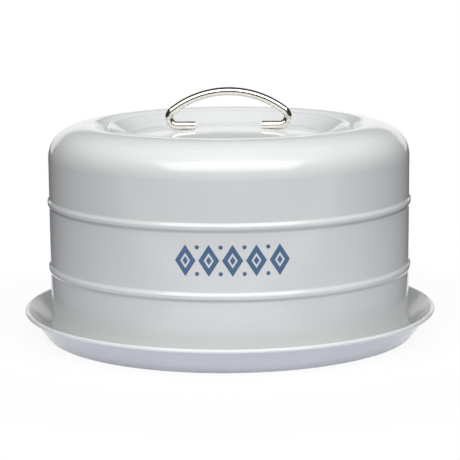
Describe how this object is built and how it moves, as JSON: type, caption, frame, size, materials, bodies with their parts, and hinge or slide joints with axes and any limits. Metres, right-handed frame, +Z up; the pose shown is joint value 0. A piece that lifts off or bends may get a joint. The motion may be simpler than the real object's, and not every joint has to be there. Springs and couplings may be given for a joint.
{
  "type": "cake tin",
  "caption": "Round domed cake tin: a beaded steel cover with a bowed rod handle lifts off a flared tray with a rolled rim.",
  "frame": {"origin": "centre of the tray's foot, at the height of the surface it stands on", "axes": "+Z up along the tin's axis, -Y towards the front, the handle lies along X"},
  "size_m": [0.285, 0.285, 0.1706],
  "materials": {
    "tray_paint": "gloss paint",
    "lid_paint": "gloss paint",
    "handle_plating": "bright nickel plate",
    "screw_steel": "zinc plate"
  },
  "bodies": {
    "tray": {"tray": "tray_paint"},
    "lid": {"lid_shell": "lid_paint", "handle": "handle_plating", "handle_screw_left": "screw_steel", "handle_screw_right": "screw_steel", "handle_washer_left": "screw_steel", "handle_washer_right": "screw_steel"}
  },
  "joints": [
    {"name": "lid_lift", "type": "slide", "parent": "tray", "child": "lid", "axis": [0, 0, 1], "range_m": [0, 0.16]}
  ]
}
